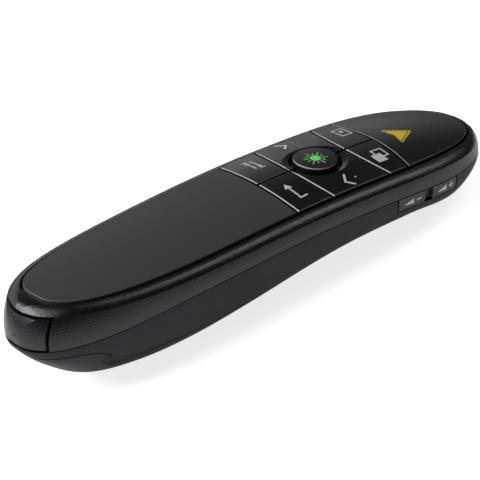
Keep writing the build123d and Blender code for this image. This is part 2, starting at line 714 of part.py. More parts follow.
tail_contacts = (TRAY_TAIL_X + TRAY_WALL, CELL_TAIL_X)
nose_contacts = (CELL_NOSE_X, TRAY_NOSE_X - TRAY_WALL)
parts["battery_springs"] = [
    contact_spring(CELL_SPACING / 2, *tail_contacts),
    contact_spring(-CELL_SPACING / 2, *nose_contacts),
]
parts["battery_plates"] = [
    box((nose_contacts[0] + FIT, nose_contacts[1] - FIT), about(CELL_SPACING / 2, PLATE_WIDTH), PLATE_Z),
    box((tail_contacts[0] + FIT, tail_contacts[1] - FIT), about(-CELL_SPACING / 2, PLATE_WIDTH), PLATE_Z),
]

# ---- Receiver ------------------------------------------------------------------------------
plug_z = (GRIP_Z[0] + GRIP_Z[1]) / 2 - PLUG_DROP
plug_end_x = GRIP_FRONT_X + PLUG_LENGTH
plug_root_x = GRIP_FRONT_X - GRIP_WALL
grip_hollow = box(
    (TAIL_X + GRIP_BACK, plug_root_x),
    about(0, GRIP_WIDTH - 2 * GRIP_WALL),
    (GRIP_Z[0] + GRIP_WALL, GRIP_Z[1] - GRIP_WALL),
)


def plug_box(inset, x):
    return box(x, about(0, PLUG_WIDTH - 2 * inset), about(plug_z, PLUG_HEIGHT - 2 * inset))


grip_block = box((-WAY_OUT, GRIP_FRONT_X), about(0, GRIP_WIDTH), GRIP_Z)
plug_mouth = plug_box(-FIT, (plug_root_x - MERGE, GRIP_FRONT_X + MERGE))
parts["receiver_grip"] = (hull & grip_block) - grip_hollow - plug_mouth
parts["receiver_plug"] = plug_box(0, (plug_root_x, plug_end_x)) - plug_box(
    PLUG_WALL, (plug_root_x - MERGE, plug_end_x + MERGE)
)
core_top = plug_z + PLUG_HEIGHT / 2 - PLUG_WALL - FIT
core_low = core_top - TONGUE_CORE
core_end_x = plug_end_x - TONGUE_SHORT
parts["receiver_tongue"] = box(
    (plug_root_x, core_end_x), about(0, PLUG_WIDTH - 2 * (PLUG_WALL + PLUG_SET)), (core_low, core_top)
)
pin_z = (core_low - FIT - PIN_THICK, core_low - FIT)
parts["receiver_contacts"] = [
    box((plug_root_x, core_end_x - PIN_SHORT), about(y, PIN_WIDTH), pin_z) for y in PIN_YS
]
parts["receiver_board"] = box(
    (TAIL_X + GRIP_BACK + LOOSE, plug_root_x - LOOSE),
    about(0, GRIP_WIDTH - 2 * (GRIP_WALL + LOOSE)),
    about(plug_z, RECEIVER_BOARD_THICK),
)
bay_x = (GRIP_FRONT_X + GRIP_GAP + FIT, plug_end_x + BAY_ROOM + BAY_END)
parts["receiver_bay"] = plug_box(-RECEIVER_GAP - BAY_WALL, bay_x) - plug_box(
    -RECEIVER_GAP, (bay_x[0] - MERGE, bay_x[1] - BAY_END)
)

# ---- Boards and switches ---------------------------------------------------------------------
board_z = (BOARD_TOP - BOARD_THICK, BOARD_TOP)
switch_face = flange_y - FLANGE_THICK - SWITCH_SET
board = snug & box((BOARD_TAIL_X, BOARD_NOSE_X), all_y, board_z)
for x, y in SCREW_SPOTS:
    board -= rod(x, y, all_z, BOSS_R + LOOSE)
board -= box((volume_from - LOOSE, WAY_OUT), (-FAR, SIDE_BOARD_Y + LOOSE), all_z)
flange_room = (knob_x[0] - FLANGE_LAP - LOOSE, knob_x[1] + FLANGE_LAP + SLIDER_TRAVEL + LOOSE)
board -= box(flange_room, (switch_face, FAR), all_z)
parts["main_board"] = board


def key_switch(x, y):
    body = box(about(x, SWITCH_SIDE), about(y, SWITCH_SIDE), (BOARD_TOP, BOARD_TOP + SWITCH_BODY))
    return body + rod(x, y, (BOARD_TOP, SWITCH_TOP), SWITCH_STEM_R)


parts["key_switches"] = [key_switch(x, y) for x, y in [*foot_spots, (BUTTON_X, 0)]]
for name, (chip_x, chip_y, thick) in CHIPS.items():
    parts[name] = box(chip_x, chip_y, (board_z[0] - thick, board_z[0]))


# ---- Volume buttons --------------------------------------------------------------------------
def volume_height(x):
    return height(SEAM_LINE, x) - VOLUME_HEIGHT / 2 - VOLUME_GAP / 2


side_board_y = (SIDE_BOARD_Y - SIDE_BOARD_THICK, SIDE_BOARD_Y)
side_board_z = (volume_height(VOLUME_X[1]) - SIDE_BOARD_BELOW, volume_height(VOLUME_X[0]) + SIDE_BOARD_ABOVE)
parts["side_board"] = box((volume_from + LOOSE, volume_to - LOOSE), side_board_y, side_board_z)


def side_switch(x):
    z = volume_height(x)
    length, depth, tall = SIDE_SWITCH
    body = box(about(x, length), (side_board_y[0] - depth, side_board_y[0]), about(z, tall))
    return body + rod_y(x, (side_board_y[0] - depth - SIDE_STEM, side_board_y[0]), z, SIDE_STEM_R)


def volume_button(x):
    ends = about(x, VOLUME_LENGTH)
    cap_layer = layer(SEAM_LINE, -VOLUME_HEIGHT - SEAM_GAP / 2, -SEAM_GAP / 2 - FIT, *ends)
    cap = (hull & cap_layer & near_side) - inside
    foot = side_board_y[0] - SIDE_SWITCH[1] - SIDE_STEM - VOLUME_TRAVEL - CONTACT_GAP
    length, tall = VOLUME_STEM
    return cap + box(about(x, length), (-body_half(x) + WALL / 2, foot), about(volume_height(x), tall))


parts["side_switches"] = [side_switch(x) for x in VOLUME_X]
parts["volume_down_button"] = volume_button(VOLUME_X[0])
parts["volume_up_button"] = volume_button(VOLUME_X[1])

# ---- Power slider ----------------------------------------------------------------------------
knob_y = body_half(SLIDER_X) + SLIDER_PROUD
knob_z = about(slider_z, SLIDER_SIZE[1])
knob = box(knob_x, (flange_y, knob_y), knob_z)
for k in range(-2, 3):
    knob -= rod(SLIDER_X + k * GROOVE_PITCH, knob_y, (knob_z[0] - MERGE, knob_z[1] + MERGE), GROOVE_R)
flange_x = about(SLIDER_X, SLIDER_SIZE[0] + 2 * FLANGE_LAP)
flange = box(flange_x, (flange_y - FLANGE_THICK, flange_y), about(slider_z, 2 * FLANGE_HALF))
nub_width, nub_depth, nub_tall = NUB_SIZE
nub_x = about(SLIDER_X, nub_width)
nub_z = (BOARD_TOP + NUB_RISE, BOARD_TOP + NUB_RISE + nub_tall)
nub_tip = flange_y - FLANGE_THICK - nub_depth
parts["power_slider"] = knob + flange + box(nub_x, (nub_tip, flange_y - FLANGE_THICK), nub_z)

track_x = (nub_x[0] - NUB_PLAY, nub_x[1] + SLIDER_TRAVEL + NUB_PLAY)
track = box(track_x, (nub_tip - NUB_PLAY, FAR), (nub_z[0] - NUB_PLAY, nub_z[1] + NUB_PLAY))
switch_x = (track_x[0] - SWITCH_ENDS, track_x[1] + SWITCH_ENDS)
switch_body = box(switch_x, (switch_face - SWITCH_DEPTH, switch_face), (BOARD_TOP, BOARD_TOP + SWITCH_TALL))
parts["power_switch"] = switch_body - track


# ---- Laser -----------------------------------------------------------------------------------
def laser_rod(x_from, length, radius):
    return rod_x((x_from, x_from + length), 0, LASER_Z, radius)


barrel_length = BARREL_X[1] - BARREL_X[0]
parts["laser_barrel"] = laser_rod(BARREL_X[0], barrel_length, BARREL_R) - rod_x(
    (BARREL_X[0] - MERGE, BARREL_X[1] + MERGE), 0, LASER_Z, BARREL_BORE
)
parts["laser_diode"] = laser_rod(BARREL_X[0], DIODE_LENGTH, BARREL_BORE - FIT)
parts["laser_lens"] = laser_rod(BARREL_X[1] - LENS_SET - LENS_LENGTH, LENS_LENGTH, BARREL_BORE - FIT)
board_length, board_width, board_thick = LASER_BOARD
parts["laser_board"] = box(
    (BARREL_X[0] - FIT - board_length, BARREL_X[0] - FIT), about(0, board_width), about(LASER_Z, board_thick)
)
nose_ring = laser_rod(NOSE_X - BEZEL_LENGTH, 2 * BEZEL_LENGTH, APERTURE_R - FIT) & hull
parts["laser_bezel"] = nose_ring - rod_x((NOSE_X - FAR / 4, NOSE_X + FAR / 4), 0, LASER_Z, WINDOW_R)
parts["laser_window"] = laser_rod(NOSE_X - WINDOW_SET - WINDOW_THICK, WINDOW_THICK, WINDOW_R - FIT)


# ---- Screws ----------------------------------------------------------------------------------
def screw(x, y):
    seat = boss_joint(x) - SCREW_CLAMP
    face = seat - SCREW_HEAD
    arm, half = SLOT_HALF
    cross = box(about(x, 2 * arm), about(y, 2 * half), (face - MERGE, face + SLOT_DEPTH)) + box(
        about(x, 2 * half), about(y, 2 * arm), (face - MERGE, face + SLOT_DEPTH)
    )
    return rod(x, y, (face, seat), SCREW_HEAD_R) - cross + rod(x, y, (seat, seat + SCREW_LENGTH), THREAD_R)


parts["screws"] = [screw(x, y) for x, y in SCREW_SPOTS]

for name, shape in parts.items():
    pieces = shape if isinstance(shape, list) else [shape]
    solids = [solid for piece in pieces for solid in piece.solids()]
    export_step(Compound(children=solids) if len(solids) > 1 else solids[0], f"parts/{name}.step")
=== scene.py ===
import json
from math import cos, pi, radians, sin, tau

import bmesh
import bpy
from mathutils import Matrix, Vector
from mathutils.bvhtree import BVHTree


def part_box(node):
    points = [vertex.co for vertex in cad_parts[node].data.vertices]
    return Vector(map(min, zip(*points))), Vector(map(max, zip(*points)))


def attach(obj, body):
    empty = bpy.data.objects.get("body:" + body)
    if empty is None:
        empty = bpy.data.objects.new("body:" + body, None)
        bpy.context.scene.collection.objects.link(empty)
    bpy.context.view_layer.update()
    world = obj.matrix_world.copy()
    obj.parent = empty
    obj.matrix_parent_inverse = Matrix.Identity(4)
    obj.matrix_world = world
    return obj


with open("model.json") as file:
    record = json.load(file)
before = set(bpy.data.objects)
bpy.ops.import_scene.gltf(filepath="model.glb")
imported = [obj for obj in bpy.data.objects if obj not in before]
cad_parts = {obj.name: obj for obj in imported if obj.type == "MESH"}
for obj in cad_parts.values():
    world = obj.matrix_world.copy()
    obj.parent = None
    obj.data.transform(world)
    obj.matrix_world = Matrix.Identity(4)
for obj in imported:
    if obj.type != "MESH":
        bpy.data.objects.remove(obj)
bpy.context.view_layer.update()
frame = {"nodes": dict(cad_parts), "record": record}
nodes = frame["nodes"]
bodies = frame["record"]["behaviour"]["bodies"]
body_of = {node: body for body, members in bodies.items() for node in members}

# A black presentation clicker on a white table. Sizes are in millimetres in the
# frame's own axes (+X to the laser end, +Y to the holder's left, +Z up) until MM
# turns them into metres. The stage's own sizes are in metres.
MM = 0.001

# ---- Camera ------------------------------------------------------------------------------
CAMERA_PLACE = (-364.64, -455.58, 399.82)
CAMERA_RIGHT = Vector((0.75216, -0.65523, -0.0702)).normalized()
CAMERA_AHEAD = Vector((0.51647, 0.65231, -0.55475)).normalized()
CAMERA_LENS = 210.0
CAMERA_NEAR = 0.01         # metres
SENSOR = 36.0


def make_camera():
    data = bpy.data.cameras.new("camera")
    data.lens = CAMERA_LENS
    data.sensor_width = SENSOR
    data.clip_start = CAMERA_NEAR
    camera = bpy.data.objects.new("camera", data)
    up = CAMERA_RIGHT.cross(CAMERA_AHEAD).normalized()
    axes = Matrix((CAMERA_RIGHT, up, -CAMERA_AHEAD)).transposed().to_4x4()
    camera.matrix_world = Matrix.Translation(Vector(CAMERA_PLACE) * MM) @ axes
    bpy.context.scene.collection.objects.link(camera)
    bpy.context.scene.camera = camera


# ---- Node helpers ------------------------------------------------------------------------
# Side that edges with wear and a painted highlight face: the hand's side and the light's.
WEAR_GLINT_SIDE = Vector((-0.88, -0.45, 0.15))
WEAR_GLINT_FACING = (0.5, 0.2)   # how squarely an edge faces the hand and the light to get wear and a painted highlight: middle and reach
EDGE_LEAN = (0.3, 0.15)    # height of an eased edge's normal: middle and reach


class Shader:
    """A material's node tree, with the few calls that the surfaces below need."""

    def __init__(self, name):
        self.material = bpy.data.materials.new(name)
        self.material.use_nodes = True
        self.tree = self.material.node_tree
        self.bsdf = self.tree.nodes["Principled BSDF"]
        place = self.tree.nodes.new("ShaderNodeTexCoord")
        self.place = place.outputs["Object"]
        self.facing = place.outputs["Normal"]

    def link(self, output, target):
        self.tree.links.new(output, target)

    def fill(self, socket, value):
        """Links a socket to the value if that is a socket too, and sets it otherwise."""
        if isinstance(value, bpy.types.NodeSocket):
            self.link(value, socket)
        else:
            socket.default_value = value

    def noise(self, size, detail, rough=0.5):
        """Noise whose features are about size millimetres across."""
        node = self.tree.nodes.new("ShaderNodeTexNoise")
        node.inputs["Scale"].default_value = 1 / (size * MM)
        node.inputs["Detail"].default_value = detail
        node.inputs["Roughness"].default_value = rough
        self.link(self.place, node.inputs["Vector"])
        return node.outputs["Fac"]

    def grit(self, size):
        """Rounded cells, like a spark-eroded mould face."""
        node = self.tree.nodes.new("ShaderNodeTexVoronoi")
        node.inputs["Scale"].default_value = 1 / (size * MM)
        self.link(self.place, node.inputs["Vector"])
        return node.outputs["Distance"]

    def wear_and_glint_edges(self):
        """1 on eased edges facing the hand and the light, 0 elsewhere: wear with a painted
        highlight.
        """
        parts = self.tree.nodes.new("ShaderNodeSeparateXYZ")
        self.link(self.facing, parts.inputs["Vector"])
        towards = self.tree.nodes.new("ShaderNodeVectorMath")
        towards.operation = "DOT_PRODUCT"
        towards.inputs[1].default_value = WEAR_GLINT_SIDE
        self.link(self.facing, towards.inputs[0])
        facing = self.spread(towards.outputs["Value"], 0, 1, *WEAR_GLINT_FACING)
        return self.product(facing, self.spread(parts.outputs["Z"], 0, 1, *EDGE_LEAN))

    def product(self, first, second, extra=0.0):
        """first times second, plus extra; each is a constant or a socket."""
        node = self.tree.nodes.new("ShaderNodeMath")
        node.operation = "MULTIPLY_ADD"
        for socket, value in zip(node.inputs, (first, second, extra)):
            self.fill(socket, value)
        return node.outputs["Value"]

    def spread(self, value, low, high, middle=0.5, reach=0.2):
        """Maps a value from its middle, give or take its reach, to the range low to high."""
        node = self.tree.nodes.new("ShaderNodeMapRange")
        node.inputs["From Min"].default_value = middle - reach
        node.inputs["From Max"].default_value = middle + reach
        node.inputs["To Min"].default_value = low
        node.inputs["To Max"].default_value = high
        self.link(value, node.inputs["Value"])
        return node.outputs["Result"]

    def mix(self, share, first, second):
        """Mixes two colours, each a socket or three numbers."""
        node = self.tree.nodes.new("ShaderNodeMix")
        node.data_type = "RGBA"
        self.link(share, node.inputs["Factor"])
        for name, colour in (("A", first), ("B", second)):
            is_socket = isinstance(colour, bpy.types.NodeSocket)
            self.fill(node.inputs[name], colour if is_socket else (*colour, 1.0))
        return node.outputs["Result"]

    def blend(self, share, first, second):
        """Mixes a value with a constant."""
        node = self.tree.nodes.new("ShaderNodeMix")
        self.link(share, node.inputs["Factor"])
        self.link(first, node.inputs["A"])
        node.inputs["B"].default_value = second
        return node.outputs["Result"]

    def bump(self, heights, depth, strength, normal=None):
        """Bump of the given depth in millimetres."""
        node = self.tree.nodes.new("ShaderNodeBump")
        node.inputs["Distance"].default_value = depth * MM
        node.inputs["Strength"].default_value = strength
        self.link(heights, node.inputs["Height"])
        if normal is not None:
            self.link(normal, node.inputs["Normal"])
        return node.outputs["Normal"]

    def set(self, **values):
        for name, value in values.items():
            self.fill(self.bsdf.inputs[name.replace("_", " ")], value)


def grey(level, tint=(1.0, 1.0, 1.0)):
    """Linear colour of an sRGB grey level from 0 to 255, with a slight tint."""
    value = (level / 255 / 12.92) if level <= 10 else ((level / 255 + 0.055) / 1.055) ** 2.4
    return tuple(value * t for t in tint)


def shaded(colour, share):
    return tuple(min(1.0, c * share) for c in colour)


# ---- Kinds of surface --------------------------------------------------------------------
CELL_SHARE = 1.6           # a mould's cells against its fine grain
SPECK_SHADE = 1.8          # how much paler the grain's tips are
SPECK_SPREAD = 0.35
MOULD_SWING = (0.05, 0.06) # roughness under and over its middle
EDGE_ROUGHNESS = 0.16
INK_PATCH = 0.35
INK_SHADE = 0.82
INK_GRAIN = 0.006
SCRATCH = 0.15
SCRATCH_DEPTH = 0.004
METAL_CLOUD = 4.0
METAL_SHADE = 0.85
METAL_SWING = (0.06, 0.08)
LENS_HAZE = 1.5
LENS_SHADE = 1.15
LENS_ROUGHNESS = (0.04, 0.09)
LENS_CLEAR = 0.7           # share of the light that goes through
WEAVE = 0.5
WEAVE_DEPTH = 0.01
WEAVE_ROUGHNESS = (0.3, 0.42)
TRACKS = 2.2
TRACK_EDGE = 0.03          # how sharp the tracks' edges are
TRACK_GREENS = ((0.005, 0.045, 0.02), (0.01, 0.09, 0.04))


def moulded(
    name, colour, roughness, grain, depth,
    shade=0.15, specular=0.5, smear=12.0, edge=None, gleam=(1, 1, 1),
):
    """Moulded plastic: fine grain in its normals, cloudy gloss and a faint change of shade.

    The edge is the paler colour of eased edges that handling has rubbed smooth, with a
    painted highlight where they face the light, and the gleam tints reflections.
    """
    shader = Shader(name)
    fine = shader.noise(grain, detail=3.0, rough=0.6)
    cells = shader.grit(grain * CELL_SHARE)
    cloud = shader.noise(smear, detail=4.0)
    tone = shader.mix(
        shader.spread(cloud, 0, 1), shaded(colour, 1 - shade), shaded(colour, 1 + shade)
    )
    speck = shader.mix(shader.spread(fine, 0, SPECK_SPREAD), tone, shaded(colour, SPECK_SHADE))
    normal = shader.bump(cells, depth, strength=0.6)
    normal = shader.bump(fine, depth, strength=0.8, normal=normal)
    gloss = shader.spread(cloud, roughness - MOULD_SWING[0], roughness + MOULD_SWING[1])
    # Paler, glossier eased edges: wear, with a painted highlight where they face the light.
    if edge is not None:
        wear_and_glint = shader.wear_and_glint_edges()
        speck = shader.mix(wear_and_glint, speck, edge)
        gloss = shader.blend(wear_and_glint, gloss, EDGE_ROUGHNESS)
    shader.set(
        Base_Color=speck,
        Roughness=gloss,
        Specular_IOR_Level=specular,
        Specular_Tint=(*gleam, 1),
        Normal=normal,
    )
    return shader.material


def printed_ink(name, colour, roughness=0.6, glow=0.0):
    """Pad-printed ink: slightly uneven colour and a dry surface. A glow, where given, is emission
    that brightens the print: painted light.
    """
    shader = Shader(name)
    patch = shader.noise(INK_PATCH, detail=3.0)
    tone = shader.mix(shader.spread(patch, 0, 1), shaded(colour, INK_SHADE), colour)
    normal = shader.bump(patch, INK_GRAIN, strength=0.5)
    shader.set(Base_Color=tone, Roughness=roughness, Normal=normal)
    # Emission that makes the print look lit: painted light, not a lamp.
    if glow:
        shader.set(Emission_Color=tone, Emission_Strength=glow)
    return shader.material


def metal(name, colour, roughness):
    """Plated or turned metal: fine scratches and cloudy gloss."""
    shader = Shader(name)
    scratch = shader.noise(SCRATCH, detail=4.0, rough=0.7)
    cloud = shader.noise(METAL_CLOUD, detail=3.0)
    shader.set(
        Base_Color=shader.mix(shader.spread(cloud, 0, 1), shaded(colour, METAL_SHADE), colour),
        Metallic=1.0,
        Roughness=shader.spread(cloud, roughness - METAL_SWING[0], roughness + METAL_SWING[1]),
        Normal=shader.bump(scratch, SCRATCH_DEPTH, strength=0.6),
    )
    return shader.material


def clear_lens(name, colour):
    """Coated lens with a little haze."""
    shader = Shader(name)
    haze = shader.noise(LENS_HAZE, detail=3.0)
    shader.set(
        Base_Color=shader.mix(shader.spread(haze, 0, 1), colour, shaded(colour, LENS_SHADE)),
        Roughness=shader.spread(haze, *LENS_ROUGHNESS),
        Transmission_Weight=LENS_CLEAR,
        IOR=1.5,
    )
    return shader.material


def circuit_board(name):
    """Solder resist with a faint weave of glass cloth and darker tracks."""
    shader = Shader(name)
    weave = shader.noise(WEAVE, detail=1.0)
    tracks = shader.noise(TRACKS, detail=0.0)
    shader.set(
        Base_Color=shader.mix(shader.spread(tracks, 0, 1, reach=TRACK_EDGE), *TRACK_GREENS),
        Roughness=shader.spread(weave, *WEAVE_ROUGHNESS),
        Normal=shader.bump(weave, WEAVE_DEPTH, strength=0.5),
    )
    return shader.material


# ---- Materials ---------------------------------------------------------------------------
COOL = (0.98, 0.97, 1.06)
BLUISH = (0.95, 0.96, 1.12)
VIOLET = (1.0, 0.86, 1.3)
VIOLET_GLEAM = (0.9, 0.82, 1.0)
BLUISH_GLEAM = (0.93, 0.91, 1.0)

band_plastic = moulded(
    "band_plastic", grey(12), roughness=0.24, grain=0.31, depth=0.05, specular=0.6
)
lower_plastic = moulded(
    "lower_plastic", grey(19, VIOLET), roughness=0.38, grain=0.3, depth=0.03,
    specular=0.38, gleam=VIOLET_GLEAM,
)
# Each edge colour below is wear on eased edges together with a painted highlight.
rear_plastic = moulded(
    "rear_panel_plastic", grey(56, (1, 1, 1.03)), roughness=0.6, grain=0.12, depth=0.006,
    shade=0.05, specular=0.2, smear=30.0, edge=grey(90),
)
front_plastic = moulded(
    "front_panel_plastic", grey(15, BLUISH), roughness=0.24, grain=0.14, depth=0.004,
    shade=0.08, specular=0.55, smear=18.0, edge=grey(100), gleam=BLUISH_GLEAM,
)
key_plastic = moulded(
    "key_plastic", grey(13, COOL), roughness=0.26, grain=0.14, depth=0.004,
    shade=0.08, specular=0.42, smear=9.0, edge=grey(190), gleam=BLUISH_GLEAM,
)
button_plastic = moulded(
    "button_plastic", grey(14, COOL), roughness=0.3, grain=0.12, depth=0.003,
    shade=0.08, specular=0.4, smear=6.0, edge=grey(165),
)
side_key_plastic = moulded(
    "side_key_plastic", grey(74), roughness=0.4, grain=0.2, depth=0.012, shade=0.1, smear=6.0
)
slider_plastic = moulded(
    "slider_plastic", grey(56), roughness=0.4, grain=0.2, depth=0.012, shade=0.1, smear=4.0
)
switch_plastic = moulded(
    "switch_plastic", grey(40), roughness=0.45, grain=0.15, depth=0.006, shade=0.1, smear=3.0
)
inner_plastic = moulded(
    "inner_plastic", grey(30), roughness=0.5, grain=0.2, depth=0.01,
    shade=0.1, specular=0.4, smear=8.0,
)
receiver_plastic = moulded(
    "receiver_plastic", grey(20, VIOLET), roughness=0.24, grain=0.31, depth=0.05,
    shade=0.12, specular=0.66, smear=6.0, gleam=BLUISH_GLEAM,
)
bezel_plastic = moulded(
    "bezel_plastic", grey(22), roughness=0.22, grain=0.15, depth=0.003, shade=0.06, smear=4.0
)
sleeve_plastic = moulded(
    "cell_sleeve", grey(120, COOL), roughness=0.3, grain=0.2, depth=0.003, shade=0.05, smear=8.0
)
chip_plastic = moulded(
    "chip_plastic", grey(28), roughness=0.55, grain=0.1, depth=0.004,
    shade=0.1, specular=0.4, smear=1.5,
)
# Near-black strip in the battery door's gap: painted shade.
gap_shade_dark = moulded(
    "gap_shade_dark", grey(12), roughness=0.65, grain=0.15, depth=0.006,
    shade=0.1, specular=0.3, smear=6.0,
)
lamp_plastic = moulded(
    "lamp_plastic", grey(70, BLUISH), roughness=0.2, grain=0.15, depth=0.002,
    shade=0.05, smear=1.0,
)
steel = metal("nickel_steel", (0.62, 0.61, 0.58), 0.3)
black_steel = metal("black_zinc", (0.07, 0.07, 0.075), 0.38)
brass = metal("turned_brass", (0.74, 0.56, 0.27), 0.3)
gold = metal("gold_plate", (0.83, 0.6, 0.25), 0.22)
lens = clear_lens("laser_lens", (0.16, 0.02, 0.025))
resist = circuit_board("solder_resist")
pale_ink = printed_ink("pale_ink", grey(205, (1, 1, 0.97)))
# Pale print on the side keys. Its glow is painted light that brightens it on the side away from the
# lamps.
side_ink_glowing = printed_ink("side_ink_glowing", grey(225), glow=0.18)
# The sun's green prints glow too: painted light.
green_ink = printed_ink("green_ink", (0.1, 0.6, 0.1), 0.45, glow=0.3)
ray_ink = printed_ink("ray_ink", (0.16, 0.5, 0.16), 0.45, glow=0.15)
yellow_ink = printed_ink("yellow_ink", (0.78, 0.52, 0.02), 0.5)

FINISHES = {
    band_plastic: ["upper_housing"],
    lower_plastic: ["lower_housing", "battery_door"],
    rear_plastic: ["rear_panel"],
    front_plastic: ["front_panel"],
    key_plastic: [
        "tab_key", "enter_key", "page_up_key", "page_down_key", "screen_key", "window_key",
    ],
    button_plastic: ["laser_button"],
    side_key_plastic: ["volume_down_button", "volume_up_button"],
    slider_plastic: ["power_slider"],
    switch_plastic: ["power_switch", "key_switches", "side_switches"],
    inner_plastic: ["battery_tray", "receiver_tongue", "receiver_bay"],
    receiver_plastic: ["receiver_grip"],
    bezel_plastic: ["laser_bezel"],
    sleeve_plastic: ["battery_left", "battery_right"],
    chip_plastic: ["controller_chip", "radio_chip"],
    lamp_plastic: ["status_led"],
    steel: ["receiver_plug", "battery_springs", "battery_plates", "crystal", "laser_diode"],
    black_steel: ["screws"],
    brass: ["laser_barrel"],
    gold: ["receiver_contacts"],
    lens: ["laser_lens", "laser_window"],
    resist: ["receiver_board", "main_board", "side_board", "laser_board"],
}


def dress_nodes():
    """Gives each CAD node its finish."""
    for finish, names in FINISHES.items():
        for name in names:
            slots = nodes[name].material_slots
            for slot in slots:
                slot.material = finish
            if not slots:
                nodes[name].data.materials.append(finish)


# ---- Pieces that ride on the nodes -------------------------------------------------------
INK = 0.03                 # thickness of a print
INK_RISE = 0.015           # how much of it stands over the plastic
INK_STEP = 0.7             # longest edge in a print's mesh
INK_ROUNDS = 6             # of splitting its long edges
DOWN = Vector((0, 0, -1))
INWARD = Vector((0, 1, 0))
RAY_START = 100.0          # from the middle, well outside the part
MITRE_LIMIT = 0.4
CIRCLE_SIDES = 32
ROUND_STEPS = 5
ROUND_LIMIT = 0.2


def skin(node):
    """The surface of a CAD node, to cast rays at."""
    mesh = nodes[node].data
    corners = [v.co for v in mesh.vertices]
    return BVHTree.FromPolygons(corners, [p.vertices for p in mesh.polygons])


def laid_on(tree, u, v, ray):
    """The point of a surface at (u, v) in the plane across the ray, a print's rise over it."""
    start = Vector((u, v, RAY_START)) if ray == DOWN else Vector((u, -RAY_START, v))
    hit = tree.ray_cast(start * MM, ray)[0]
    return hit - ray * INK_RISE * MM


def add_piece(name, shape, finish, node):
    """Makes a piece from a bmesh, moving with the body of a CAD node."""
    mesh = bpy.data.meshes.new(name)
    shape.to_mesh(mesh)
    shape.free()
    mesh.materials.append(finish)
    piece = bpy.data.objects.new(name, mesh)
    bpy.context.scene.collection.objects.link(piece)
    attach(piece, body_of[node])
    return piece


def print_on(node, name, loops, finish, ray=DOWN):
    """Print with the given outlines, laid on a node's surface and moving with its body."""
    tree = skin(node)
    shape = bmesh.new()
    for loop in loops:
        corners = [shape.verts.new((u, v, 0)) for u, v in loop]
        for first, second in zip(corners, corners[1:] + corners[:1]):
            shape.edges.new((first, second))
    bmesh.ops.triangle_fill(shape, edges=shape.edges[:], use_beauty=True)
    for _ in range(INK_ROUNDS):
        long_edges = [edge for edge in shape.edges if edge.calc_length() > INK_STEP]
        bmesh.ops.subdivide_edges(shape, edges=long_edges, cuts=1)
        bmesh.ops.triangulate(shape, faces=shape.faces[:])
    for vert in shape.verts:
        vert.co = laid_on(tree, vert.co.x, vert.co.y, ray)
    bmesh.ops.recalc_face_normals(shape, faces=shape.faces[:])
    for face in shape.faces:
        if face.normal.dot(ray) > 0:
            face.normal_flip()
    thick = add_piece(name, shape, finish, node).modifiers.new("thickness", "SOLIDIFY")
    thick.thickness = INK * MM
    thick.offset = -1


def stroke(points, width, closed=False):
    """Outlines of a line of the given width with mitred corners."""
    points = [Vector(p) for p in points]
    count = len(points)

    def side(sign):
        edge = []
        for i, point in enumerate(points):
            before = points[i - 1] if closed or i > 0 else None
            after = points[(i + 1) % count] if closed or i < count - 1 else None
            ahead = (after - point if after is not None else point - before).normalized()
            behind = (point - before).normalized() if before is not None else ahead
            along = (ahead + behind).normalized()
            across = Vector((-along.y, along.x))
            slant = across.dot(Vector((-ahead.y, ahead.x)))
            edge.append(tuple(point + across * width / 2 / max(slant, MITRE_LIMIT) * sign))
        return edge

    if closed:
        return [side(1), side(-1)]
    return [side(1) + side(-1)[::-1]]


def circle(x, y, radius):
    turns = [tau * k / CIRCLE_SIDES for k in range(CIRCLE_SIDES)]
    return [(x + radius * cos(turn), y + radius * sin(turn)) for turn in turns]


def rounded(corners, radius):
    """Closed outline with each corner rounded off."""
    outline = []
    for i, corner in enumerate(corners):
        here = Vector(corner)
        to_last = (Vector(corners[i - 1]) - here).normalized()
        to_next = (Vector(corners[(i + 1) % len(corners)]) - here).normalized()
        half = to_last.angle(to_next) / 2
        reach = radius / max(abs(sin(half) / cos(half)), ROUND_LIMIT)
        start, end = here + to_last * reach, here + to_next * reach
        for k in range(ROUND_STEPS + 1):
            t = k / ROUND_STEPS
            point = start * (1 - t) ** 2 + here * 2 * t * (1 - t) + end * t**2
            outline.append(tuple(point))
    return outline


def arrow_head(tip, direction, length, width):
    tip, direction = Vector(tip), Vector(direction).normalized()
    across = Vector((-direction.y, direction.x)) * width / 2
    back = tip - direction * length
    return [tuple(tip), tuple(back + across), tuple(back - across)]


# ---- Legends -----------------------------------------------------------------------------
SUN = Vector((22.3, -0.2))
SUN_DISC_R = 1.4
SUN_RAYS = 12
SUN_TURN = pi / 24         # of the first ray from +X
SUN_FOOT = 1.75            # from the middle to a ray's foot, and to the long and short tips
SUN_TIPS = (2.7, 3.35)
SUN_HALVES = (0.2, 0.11)   # half a ray's width at its foot and tip

# Each open or closed line is followed by its width.
PAGE_DOWN_MARK = ([(23.45, -9.3), (21.6, -11.95), (23.35, -13.9)], 0.62)
PAGE_UP_MARK = ([(20.9, 14.2), (23.1, 12.2), (21.3, 10.4)], 0.55)
ENTER_SHAFT = ([(7.85, -6.0), (7.75, -10.95), (10.0, -10.75)], 0.5)
WINDOW_BACK = ([(36.65, -4.9), (39.8, -4.9), (39.8, -8.2), (36.65, -8.2)], 0.45)
SCREEN_FRAME = ([(37.2, 10.4), (40.4, 10.4), (40.4, 6.0), (37.2, 6.0)], 0.38)

WINDOW_FRONT = [(35.1, -6.6), (38.2, -6.6), (38.2, -10.0), (35.1, -10.0)]
WINDOW_ROUND = 0.2

# Each head is a tip, a direction, a length and a width.
ENTER_HEAD = ((7.88, -4.3), (0.02, 1.0), 2.0, 2.3)
PLAY_HEAD = ((38.8, 7.4), (0, -1), 1.7, 1.5)

